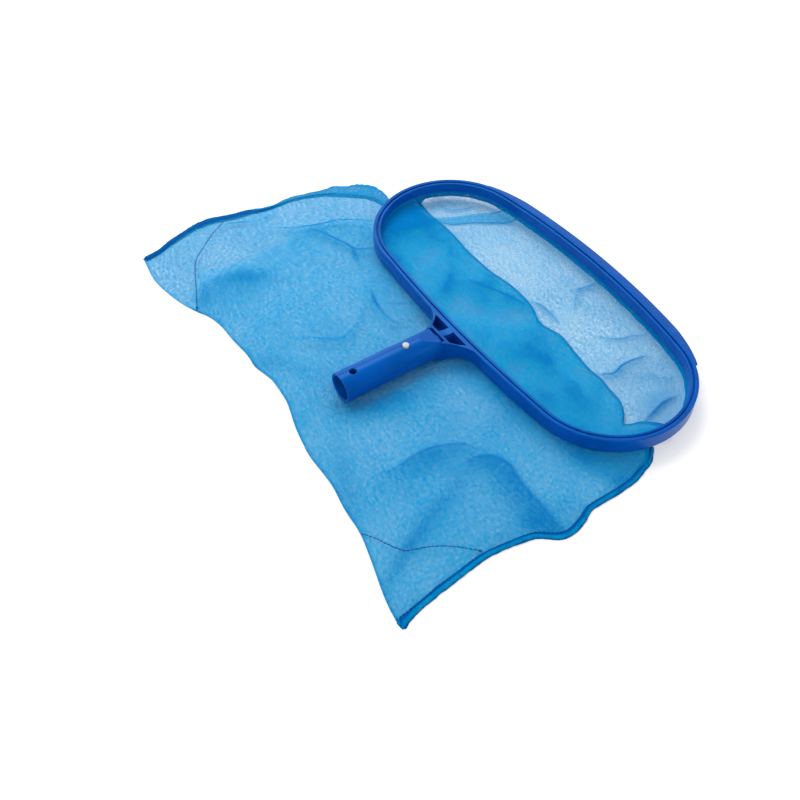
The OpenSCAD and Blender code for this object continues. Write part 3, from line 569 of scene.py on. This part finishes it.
outward /= np.linalg.norm(outward, axis=1)[:, None]
roll_xy = crest[None] + ROLL * np.sin(roll)[..., None] * outward[None]
roll_z = upper_z[-1, turned][None] + ROLL * (1 - np.cos(roll))
back = np.linspace(0, 1, 50)[1:, None]
flap_xy = blended(crest[None], flap_end[None], back[..., None])
fx, fy = flap_xy[..., 0], flap_xy[..., 1]
FLAP_FOLDS = (
    (((-62, 188), (-40, 200), (-24, 208), (-10, 213), (2, 217)), 6, 3, 0.9, 0.30, 0.85),
    (((-55, 140), (-54, 152), (-75, 175), (-94, 189)), 5, 5, 1.0, 0.40, 0.12),
    (((-65, 154), (-62, 171), (-44, 186)), 11, 9, 0.6, 0.40, 0.0),
    (((-150, 196), (-120, 200), (-96, 197)), 6, 3, 0.8, 0.15, 0.10),
    # A deeper patch with no rise at the hoop's left end: partly the layers piled there, partly painted
    # shade by the rim.
    (((-188, 168), (-184, 187), (-170, 201), (-150, 208)), 20, 22, 0, 0.85, 0.0),
    (((-179, 158), (-171, 166), (-162, 175)), 8, 8, 0, 0.55, 0.0),
    (((-145, 147), (-130, 146), (-110, 141)), 12, 12, 0, 0.42, 0.0),
    (((36, 175), (55, 180), (78, 180)), 14, 12, 0, 0.42, 0.0),
    (((102, 171), (117, 177), (132, 182)), 14, 16, 0, 0.50, 0.0),
    (((-125, 168), (-101, 173)), 16, 16, 0, -0.75, 0.0),
    (((-46, 158), (-18, 170)), 12, 12, 0, -0.60, 0.0),
    (((-11, 189), (18, 198)), 14, 12, 0, -0.70, 0.0),
    (((53, 145), (76, 150)), 10, 10, 0, -0.60, 0.0),
    (((85, 196), (99, 199)), 9, 9, 0, -0.45, 0.0),
    (((112, 190), (118, 197)), 9, 9, 0, -0.45, 0.0),
    (((148, 172), (160, 176)), 11, 11, 0, -0.35, 0.0),
    (((176, 214), (185, 218), (193, 219)), 5, 8, 0.5, 0.90, 0.0))

# The flap rises to the hem as 1 - (1 - back)^2. Its folds and noise swell by a half sine in between.
flap_rise, flap_gather_and_shade = folds_at(fx, fy, FLAP_FOLDS)
flap_gather_and_shade = flap_gather_and_shade + 0.12 + 0.30 * soft_noise(fx, fy, 17, 33) + 0.22 * soft_noise(fx, fy, 7, 34)
# Painted shade by the near rim: the flap's last stretch before the hem turns closer and deeper towards the
# round ends.
flap_gather_and_shade = flap_gather_and_shade + 0.60 * back ** 4 * smoothly(np.abs(fx), 130, 165)
arch = np.sin(np.pi * back)
flap_z = (blended(roll_z[-1][None], FLAP_END_Z, 1 - (1 - back) ** 2) + flap_rise * arch
          + (0.9 * soft_noise(fx, fy, 36, 31) + 0.35 * soft_noise(fx, fy, 14, 32) - 1.6) * arch)
flap_z = np.maximum(flap_z, upper_height(fx, fy) + 1.0)
turned_back = np.concatenate([np.dstack([roll_xy, roll_z]), np.dstack([flap_xy, flap_z])])

# One grid holds both: below the fold line's row, only the columns that turn back are kept.
upper_grid = np.dstack([upper_xy, upper_z])
whole = np.concatenate([upper_grid, np.repeat(upper_grid[-1:], len(turned_back), 0)])
whole[BAG_ROWS:, turned] = turned_back
upper_gather_and_shade = np.zeros(whole.shape[:2])
upper_gather_and_shade[:BAG_ROWS] = upper_bunching_and_shade(upper_xy[..., 0], upper_xy[..., 1])
upper_gather_and_shade[BAG_ROWS + len(roll):, turned] = flap_gather_and_shade
upper_gather_and_shade[BAG_ROWS - 1:BAG_ROWS + len(roll), turned] = 0.85
upper_gather_and_shade[:1] += 0.6
upper_gather_and_shade[1:2] += 0.2
kept = np.ones((whole.shape[0] - 1, whole.shape[1] - 1), bool)
kept[BAG_ROWS - 1:] = False
kept[BAG_ROWS - 1:, turned.start:turned.stop - 1] = True
bag_upper = sheet_mesh("bag_upper", whole, upper_gather_and_shade, kept=kept)
bag_upper.data.materials.append(bag_net)
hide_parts("bag_upper_layer")
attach(bag_upper, "net")

# Side seams: both layers turned over together three times and lockstitched, a soft roll on each side.
# The left one opens out flat before the hoop and goes on inside it as a doubled band, up to the far rim.
SEAM_BLUE = (0.0, 0.40, 0.82, 1)
SEAM_SHADE = (0.0, 0.10, 0.39, 1)
STITCH_BLUE = (0.0, 0.09, 0.36, 1)
WORN_STITCH = (0.0, 0.16, 0.48, 1)
# Points along a seam, and the millimetres that its noise counts along it. Then how far across a seam its
# stitches lie, and their height over the ground.
SEAM_STEPS, SEAM_LENGTH = 420, 280
STITCHED_AT, STITCH_RISE = 0.86, 2.3
stitch_thread = moulded("stitch_thread", STITCH_BLUE, WORN_STITCH, 0.5, 0.6, 0.00005)
seam_cloth = net_cloth("seam_cloth", 1.2, 0.62, 1.05, SEAM_BLUE, SEAM_SHADE)


def seam_roll(name, outer, inner, seed, tightness, line_at, line_wide):
    """A rolled seam between its outer and inner edges: a flat foot and a round back, |sin a|^0.8 of its
    height, which is 3.4 mm where it is narrow and 18 / width where it opens out. Tightness along it says
    how bunched it is. The thread draws in a darker line, line_at of the way across and line_wide wide."""
    share = np.linspace(0, 1, SEAM_STEPS)
    run = share * SEAM_LENGTH
    outer, inner = smooth_path(outer, SEAM_STEPS), smooth_path(inner, SEAM_STEPS)
    a = np.linspace(0, 2 * np.pi, 21)[:-1][None, :]
    ragged = 0.10 * soft_noise(run, 0 * run, 7.0, seed) + 0.07 * soft_noise(run, 0 * run, 2.6, seed)
    t = 0.5 - 0.5 * np.cos(a) * (1 + ragged[:, None] * np.cos(a))
    wide = np.linalg.norm(outer - inner, axis=1)[:, None]
    ends = smoothly(np.minimum(share, 1 - share), 0, 0.012)[:, None]
    t = 0.5 + (t - 0.5) * (0.6 + 0.4 * ends)
    swell = 1 + 0.12 * soft_noise(run, 0 * run, 15.0, seed + 1)[:, None]
    back_height = np.minimum(3.4, 18 / wide) * swell
    z = FLOOR_Z + 0.1 + np.where(np.sin(a) > 0, np.abs(np.sin(a)) ** 0.8 * back_height * ends, 0)
    xy = blended(outer[:, None, :], inner[:, None, :], t[..., None])
    tight = np.interp(share, *zip(*tightness))[:, None]
    drawn_in = 1.25 * np.exp(-((t - line_at) / line_wide) ** 2)
    gather_and_shade = tight + drawn_in + 0.8 * np.exp(-((t - 0.02) / 0.07) ** 2)
    gather_and_shade = gather_and_shade + 0.22 * soft_noise(run[:, None] + 0 * t, t * wide, 5.0, seed + 2)
    piece = sheet_mesh(name, np.dstack([xy, z]), gather_and_shade, closed=True)
    piece.data.materials.append(seam_cloth)
    return piece


def stitch_row(name, path3, long, gap, thick):
    """Lockstitches along a path in space: one six-sided spindle, its radius thick * sqrt(1 - (2t - 1)^4),
    repeated every long + gap millimetres."""
    rings, sides = 5, 6
    run = np.r_[0, np.cumsum(np.linalg.norm(np.diff(path3, axis=0), axis=1))]
    count = int(run[-1] / (long + gap))
    t = np.linspace(0, 1, rings)
    at = np.arange(count)[:, None] * (long + gap) + t[None, :] * long
    centre = np.stack([np.interp(at, run, path3[:, k]) for k in range(3)], -1)
    ahead = np.stack([np.interp(at + 0.5, run, path3[:, k]) for k in range(3)], -1) - centre
    side = np.stack([-ahead[..., 1], ahead[..., 0], 0 * ahead[..., 0]], -1)
    side /= np.maximum(np.linalg.norm(side, axis=-1, keepdims=True), 1e-6)
    a = np.linspace(0, 2 * np.pi, sides + 1)[:-1]
    radius = thick * np.sqrt(np.maximum(1 - (2 * t - 1) ** 4, 0.02))
    ring = (centre[:, :, None, :] + radius[None, :, None, None]
            * (np.cos(a)[None, None, :, None] * side[:, :, None, :]
               + np.sin(a)[None, None, :, None] * np.array([0, 0, 1.0])))
    i, k = np.meshgrid(np.arange(rings - 1), np.arange(sides), indexing="ij")
    low, high, turn = i * sides, (i + 1) * sides, (k + 1) % sides
    quad = np.stack([low + k, low + turn, high + turn, high + k], -1)
    starts = np.arange(count) * rings * sides
    faces = (starts[:, None, None] + quad.reshape(1, -1, 4)).reshape(-1, 4).tolist()
    faces += [list(range(s + sides - 1, s - 1, -1)) for s in starts]
    faces += [list(range(s + (rings - 1) * sides, s + rings * sides)) for s in starts]
    mesh = bpy.data.meshes.new(name)
    mesh.from_pydata((ring.reshape(-1, 3) * MM).tolist(), [], faces)
    mesh.update()
    piece = bpy.data.objects.new(name, mesh)
    bpy.context.scene.collection.objects.link(piece)
    piece.data.materials.append(stitch_thread)
    return piece


seam_pieces = []
for side, outer, inner, seed, line_at, line_wide, tightness in (
        ("left", LEFT_OUTER, LEFT_INNER, 41, 0.86, 0.16,
         ((0, 0.9), (0.36, 0.85), (0.46, 0.4), (0.54, -0.3), (0.75, -0.45), (1, -0.5))),
        ("right", RIGHT_OUTER, RIGHT_INNER, 51, 0.74, 0.19,
         ((0, 0.6), (0.05, -0.1), (0.3, -0.05), (0.6, 0.1), (1, 0.3)))):
    roll_piece = seam_roll("seam_roll_" + side, outer, inner, seed, tightness, line_at, line_wide)
    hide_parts("side_seam_" + side)
    line = blended(smooth_path(outer, SEAM_STEPS), smooth_path(inner, SEAM_STEPS), STITCHED_AT)
    stitched = np.column_stack([line, np.full(len(line), FLOOR_Z + STITCH_RISE)])
    seam_pieces += [roll_piece, stitch_row("seam_stitches_" + side, stitched, 2.6, 0.9, 0.4)]

# The band is as wide as its two edges are apart, lies 0.8 mm high in the middle, and climbs with the net.
BAND_LEFT = smooth_path([
    (-184, 178), (-178, 195), (-167, 217), (-161, 228), (-155, 239), (-148, 257), (-139, 274),
    (-127, 285)], 80)
BAND_RIGHT = smooth_path([
    (-172, 170), (-165, 190), (-154, 220), (-146, 228), (-140, 240), (-133, 253), (-125, 264),
    (-117, 276), (-107, 287)], 80)
over = np.linspace(0, 1, 18)[None, :]
band_xy = blended(BAND_LEFT[:, None, :], BAND_RIGHT[:, None, :], over[..., None])
band_x, band_y = band_xy[..., 0], band_xy[..., 1]
band_z = -16.3 + 0.8 * np.sin(np.pi * over) ** 0.5 + 0.2 * soft_noise(band_x, band_y, 20, 61)
band_z = band_z + net_climb(band_x, band_y)
band_edges = np.exp(-(over / 0.08) ** 2) + np.exp(-((1 - over) / 0.08) ** 2)
band_gather = 0.04 + 0.80 * band_edges + 0 * band_z
seam_band = sheet_mesh("seam_band", np.dstack([band_xy, band_z]), band_gather)
seam_band.data.materials.append(bag_net)
for piece in seam_pieces + [seam_band]:
    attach(piece, "net")

# Corner seams: a line of stitches through both layers across each bottom corner, so that the bag fills
# out square. Each ends in a small knot at the side seam.
LEFT_CORNER = ((-284, 26), (-280, 20), (-269, 5), (-258, -8), (-243, -26), (-221, -38), (-200, -47),
               (-179, -57))
RIGHT_CORNER = ((132, -61), (143, -54), (152, -50), (164, -43), (169, -36), (177, -20), (189, -3),
                (201, 11))
corner_pieces = []
for side, line in (("left", LEFT_CORNER), ("right", RIGHT_CORNER)):
    path = smooth_path(line, 160)
    raised = np.column_stack([path, upper_height(path[:, 0], path[:, 1]) + 0.25])
    row = stitch_row("corner_stitches_" + side, raised, 2.8, 0.6, 0.6)
    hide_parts("corner_seam_" + side)
    corner_pieces += [row, stitch_row("corner_knot_" + side, raised[-6:], 2.4, 0.2, 1.1)]
for piece in corner_pieces:
    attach(piece, "net")

# Hem cord: a ring of braided polyester that lies in the turned hem. It keeps the hem from slipping out
# past the retainer.
CORD_BLUE = (0.0, 0.16, 0.45, 1)
WORN_CORD = (0.05, 0.28, 0.55, 1)
dressed(("hem_cord",), moulded("cord_braid", CORD_BLUE, WORN_CORD, 0.5, 0.7, 0.0002))

# Lock spring: one strip of spring steel bent into a V inside the spigot, with the two buttons on its arms.
# It is brushed along its length.
spring_steel = bpy.data.materials.new("spring_steel")
spring_steel.use_nodes = True
steel_tree = spring_steel.node_tree
steel = steel_tree.nodes["Principled BSDF"]
brush_place = wire(steel_tree, "Mapping", {"Vector": wire(steel_tree, "TexCoord").outputs["Object"],
                                           "Scale": (2600.0, 60.0, 2600.0)})
brushing = wire(steel_tree, "TexNoise", {"Vector": brush_place.outputs[0], "Scale": 1.0, "Detail": 4.0})
steel_bump = wire(steel_tree, "Bump", {"Height": brushing.outputs[0], "Strength": 0.2, "Distance": 0.00005})
steel_tone = spread(steel_tree, brushing.outputs[0], 0.0, 1.0, 0.40, 0.66)
steel_rough = spread(steel_tree, brushing.outputs[0], 0.0, 1.0, 0.24, 0.42)
steel_tree.links.new(steel_tone, steel.inputs["Base Color"])
steel_tree.links.new(steel_rough, steel.inputs["Roughness"])
steel_tree.links.new(steel_bump.outputs[0], steel.inputs["Normal"])
steel.inputs["Metallic"].default_value = 1.0
dressed(("spring_bow", "spring_arm_top", "spring_arm_bottom"), spring_steel)

# Lock buttons: white acetal with a domed head, riveted to the spring's arms. Each stands out through a
# hole in the spigot and is pressed in to slide the pole on. Their white is tinted blue: a painted
# reflection of the blue frame and net around them.
BUTTON_WHITE_AND_BLUE_REFLECTION = (0.66, 0.74, 0.80, 1)
WORN_WHITE = (0.50, 0.56, 0.62, 1)
dressed(("button_top", "button_bottom"),
        moulded("button_plastic", BUTTON_WHITE_AND_BLUE_REFLECTION, WORN_WHITE, 0.35, 0.34, 0.00006, shine=(1, 1, 1, 1),
                corner=0.0002))

# Studio: a pale sheet of paper under the net, one large soft lamp high on the left and an even white
# room. The paper keeps the shadows. It glows a little where it is seen bare, and not through the net.
PAPER_Z = -0.018
LAMP_AT, LAMP_AIM = (-0.95, 0.35, 1.35), (0.0, 0.1, 0.0)
CAMERA_AT, CAMERA_AIM = (0.5247, -0.2848, 0.6744), (0.04142, 0.03711, 0.0)
floor_mesh = bpy.data.meshes.new("floor")
paper_corners = [(x, y, PAPER_Z) for x, y in ((-4, -4), (4, -4), (4, 4), (-4, 4))]
floor_mesh.from_pydata(paper_corners, [], [(0, 1, 2, 3)])
floor = bpy.data.objects.new("floor", floor_mesh)
bpy.context.scene.collection.objects.link(floor)
paper = bpy.data.materials.new("paper")
paper.use_nodes = True
paper_shader = paper.node_tree.nodes["Principled BSDF"]
paper_shader.inputs["Base Color"].default_value = (0.90, 0.90, 0.90, 1)
paper_shader.inputs["Roughness"].default_value = 0.95
paper_shader.inputs["Specular IOR Level"].default_value = 0.0
rays = wire(paper.node_tree, "LightPath")
seen = maths(paper.node_tree, "MAXIMUM", rays.outputs["Is Camera Ray"], rays.outputs["Is Glossy Ray"])
seen = maths(paper.node_tree, "MAXIMUM", seen, rays.outputs["Is Transmission Ray"])
bare = spread(paper.node_tree, rays.outputs["Transparent Depth"], 0.0, 1.0, 0.27, 0.0)
glow = maths(paper.node_tree, "MULTIPLY", seen, bare)
paper.node_tree.links.new(glow, paper_shader.inputs["Emission Strength"])
paper_shader.inputs["Emission Color"].default_value = (1, 1, 1, 1)
floor_mesh.materials.append(paper)

room = bpy.data.worlds.new("room")
room.use_nodes = True
room.node_tree.nodes["Background"].inputs["Color"].default_value = (1, 1, 1, 1)
room_rays = wire(room.node_tree, "LightPath")
room.node_tree.links.new(spread(room.node_tree, room_rays.outputs["Is Camera Ray"], 0.0, 1.0, 0.73, 1.0),
                         room.node_tree.nodes["Background"].inputs["Strength"])
bpy.context.scene.world = room


def look_at(place, target):
    """World matrix of something at place whose -Z axis points at the target and whose X axis is level."""
    away = np.array(place, float) - np.array(target, float)
    away /= np.linalg.norm(away)
    right = np.cross((0, 0, 1), away)
    right /= np.linalg.norm(right)
    turned_to = np.eye(4)
    turned_to[:3] = np.column_stack([right, np.cross(away, right), away, place])
    return Matrix(turned_to.tolist())


softbox = bpy.data.lights.new("softbox", "AREA")
softbox.shape = "RECTANGLE"
softbox.size, softbox.size_y = 1.1, 0.8
softbox.energy = 13.4
softbox_object = bpy.data.objects.new("softbox", softbox)
softbox_object.matrix_world = look_at(LAMP_AT, LAMP_AIM)
bpy.context.scene.collection.objects.link(softbox_object)

camera_data = bpy.data.cameras.new("camera")
camera_data.lens = 45.0
camera_data.sensor_width = 36.0
camera = bpy.data.objects.new("camera", camera_data)
camera.matrix_world = look_at(CAMERA_AT, CAMERA_AIM)
bpy.context.scene.collection.objects.link(camera)
bpy.context.scene.camera = camera
bpy.context.scene.view_settings.view_transform = "Standard"
